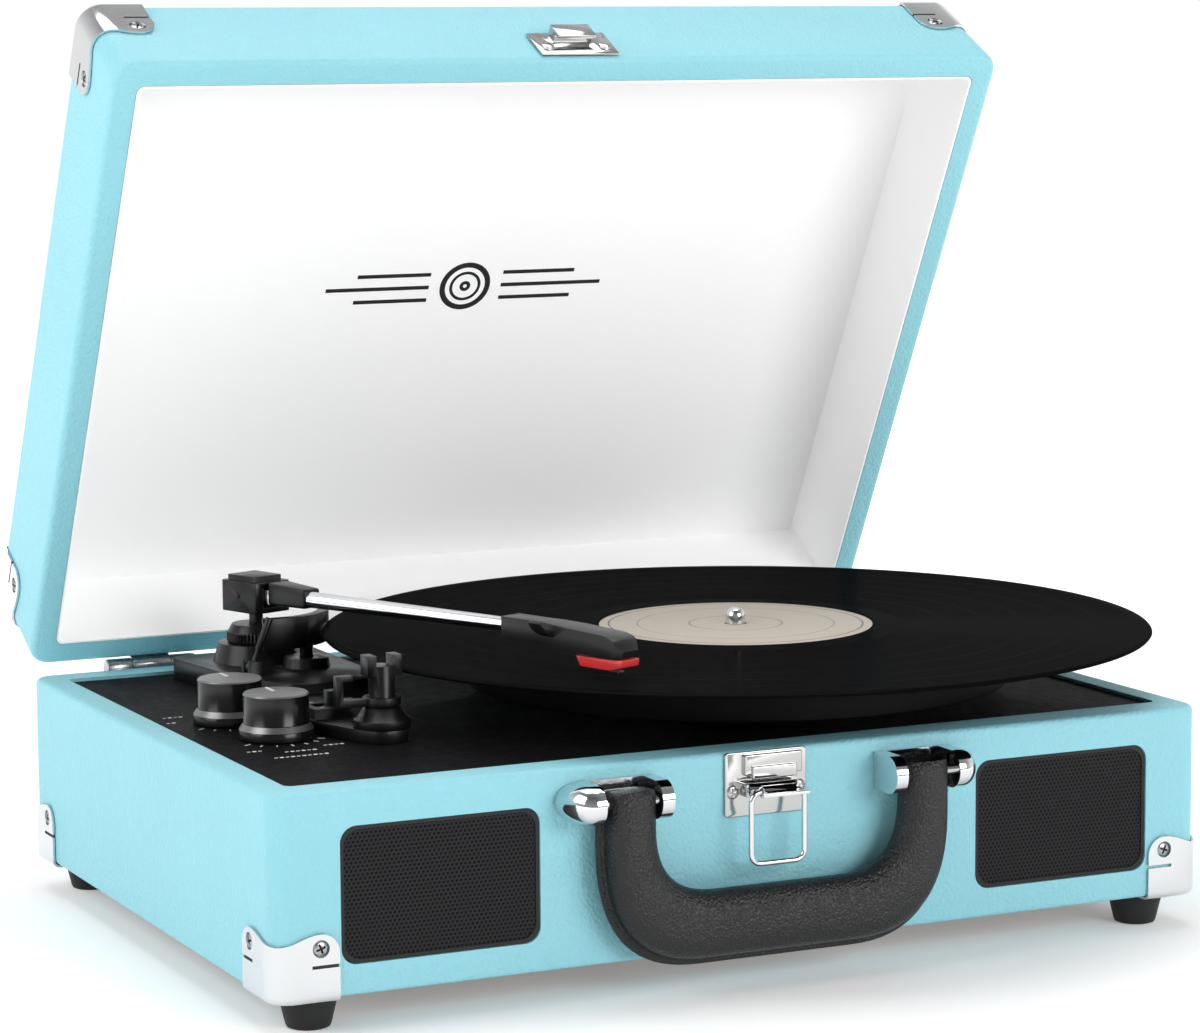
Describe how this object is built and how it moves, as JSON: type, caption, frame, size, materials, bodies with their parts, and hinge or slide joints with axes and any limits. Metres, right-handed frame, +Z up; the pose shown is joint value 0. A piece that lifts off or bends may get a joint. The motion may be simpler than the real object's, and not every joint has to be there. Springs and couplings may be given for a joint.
{
  "type": "suitcase record player",
  "caption": "Portable record player in a wrapped suitcase: hinged lid, belt-driven platter, straight tonearm, two front speakers, draw latch and padded handle.",
  "frame": {"origin": "middle of the lowest face of the box around the whole player, with the lid open", "axes": "+Z up, -Y the front with speakers and handle, +X to the right when facing the front, tonearm on the -X side"},
  "size_m": [0.377, 0.33, 0.3281],
  "materials": {
    "turquoise_wrap": "turquoise leatherette wrap over board, soft satin grain",
    "white_lining": "matt white lining",
    "deck_vinyl": "black pebbled vinyl",
    "black_plastic": "satin black moulding",
    "grey_plastic": "dark grey moulding",
    "chrome": "polished chrome plate",
    "satin_steel": "satin steel",
    "polished_tube": "polished aluminium tube",
    "perforated_steel": "black perforated sheet",
    "rubber": "black rubber",
    "padded_leather": "black grained imitation leather",
    "record_vinyl": "glossy black with fine grooves",
    "label_paper": "beige paper",
    "red_plastic": "glossy red",
    "felt": "black felt",
    "board_panel": "plain fibre board",
    "circuit": "green circuit board",
    "paper_cone": "black paper cone and steel basket"
  },
  "bodies": {
    "case": {"base_shell": "turquoise_wrap", "bottom_panel": "board_panel", "deck_panel": "deck_vinyl", "speaker_grille_left": "perforated_steel", "speaker_grille_right": "perforated_steel", "speaker_driver_left": "paper_cone", "speaker_driver_right": "paper_cone", "base_corner_front_left": "chrome", "foot_front_left": "rubber", "base_corner_front_right": "chrome", "foot_front_right": "rubber", "base_corner_back_left": "chrome", "foot_back_left": "rubber", "base_corner_back_right": "chrome", "foot_back_right": "rubber", "latch_plate": "chrome", "handle_bracket_left": "chrome", "handle_bracket_right": "chrome", "hinge_base_leaf_left": "satin_steel", "hinge_base_leaf_right": "satin_steel", "spindle_bearing": "satin_steel", "motor": "satin_steel", "drive_belt": "rubber", "volume_pot": "satin_steel", "function_switch": "satin_steel", "circuit_board": "circuit", "signal_jacks": "black_plastic", "dc_inlet": "black_plastic", "tonearm_base": "black_plastic", "arm_rest": "black_plastic"},
    "lid": {"lid_shell": "turquoise_wrap", "lid_lining": "white_lining", "lid_catch": "chrome", "hinge_lid_leaf_left": "satin_steel", "hinge_lid_leaf_right": "satin_steel", "lid_corner_front_left": "chrome", "lid_corner_front_right": "chrome", "lid_corner_back_left": "chrome", "lid_corner_back_right": "chrome"},
    "handle": {"handle": "padded_leather"},
    "latch_lever": {"latch_lever": "chrome"},
    "latch_bail": {"latch_bail": "chrome"},
    "platter": {"platter": "black_plastic", "slipmat": "felt", "spindle": "chrome", "vinyl_record": "record_vinyl", "record_label": "label_paper"},
    "motor_pulley": {"motor_pulley": "grey_plastic"},
    "tonearm_pivot": {"arm_turret": "black_plastic", "pivot_block": "black_plastic"},
    "tonearm": {"arm_tube": "polished_tube", "headshell": "grey_plastic", "cartridge": "red_plastic", "stylus": "satin_steel"},
    "lift_lever": {"lift_lever": "black_plastic"},
    "lift_bar": {"lift_bar": "black_plastic"},
    "arm_clip": {"arm_clip": "black_plastic"},
    "speed_slider": {"speed_slider": "black_plastic"},
    "volume_knob": {"volume_knob": "black_plastic"},
    "function_knob": {"function_knob": "black_plastic"}
  },
  "joints": [
    {"name": "lid_hinge", "type": "hinge", "parent": "case", "child": "lid", "pos_m": [-0.01245, 0.12776, 0.07925], "axis": [-1, 0, 0], "range_deg": [0, 35]},
    {"name": "handle_swing", "type": "hinge", "parent": "case", "child": "handle", "pos_m": [-0.01245, -0.14014, 0.068], "axis": [-1, 0, 0], "range_deg": [0, 110]},
    {"name": "latch_lever_hinge", "type": "hinge", "parent": "case", "child": "latch_lever", "pos_m": [-0.01245, -0.13394, 0.0665], "axis": [1, 0, 0], "range_deg": [-70, 14]},
    {"name": "latch_bail_hinge", "type": "hinge", "parent": "latch_lever", "child": "latch_bail", "pos_m": [-0.01245, -0.13944, 0.0665], "axis": [-1, 0, 0], "range_deg": [0, 95]},
    {"name": "platter_spin", "type": "hinge", "parent": "case", "child": "platter", "pos_m": [0.03755, -0.01404, 0.0778], "axis": [0, 0, 1], "continuous": true},
    {"name": "pulley_spin", "type": "hinge", "parent": "case", "child": "motor_pulley", "pos_m": [0.10266, 0.0406, 0.0778], "axis": [0, 0, 1], "continuous": true},
    {"name": "tonearm_swing", "type": "hinge", "parent": "case", "child": "tonearm_pivot", "pos_m": [-0.11345, 0.08136, 0.097], "axis": [0, 0, 1], "range_deg": [-22, 20.5]},
    {"name": "tonearm_tilt", "type": "hinge", "parent": "tonearm_pivot", "child": "tonearm", "pos_m": [-0.11345, 0.08136, 0.1109], "axis": [-0.9421, -0.3355, 0], "range_deg": [0, 10]},
    {"name": "lift_lever_hinge", "type": "hinge", "parent": "case", "child": "lift_lever", "pos_m": [-0.12645, 0.05116, 0.0885], "axis": [0, 1, 0], "range_deg": [-100, 0]},
    {"name": "lift_bar_slide", "type": "slide", "parent": "case", "child": "lift_bar", "axis": [0, 0, 1], "range_m": [0, 0.0024]},
    {"name": "arm_clip_hinge", "type": "hinge", "parent": "case", "child": "arm_clip", "pos_m": [-0.11699, -0.04971, 0.092], "axis": [0, 0, 1], "range_deg": [-60, 60]},
    {"name": "speed_slide", "type": "slide", "parent": "case", "child": "speed_slider", "axis": [1, 0, 0], "range_m": [-0.004, 0.004]},
    {"name": "volume_turn", "type": "hinge", "parent": "case", "child": "volume_knob", "pos_m": [-0.14795, -0.03014, 0.087], "axis": [0, 0, 1], "range_deg": [-140, 140]},
    {"name": "function_turn", "type": "hinge", "parent": "case", "child": "function_knob", "pos_m": [-0.15195, 0.00486, 0.087], "axis": [0, 0, 1], "range_deg": [-60, 60]}
  ],
  "couplings": [
    {"joint": "pulley_spin", "follows": "platter_spin", "ratio": 16.5},
    {"joint": "lift_lever_hinge", "follows": "lift_bar_slide", "rad_per_m": -727}
  ]
}
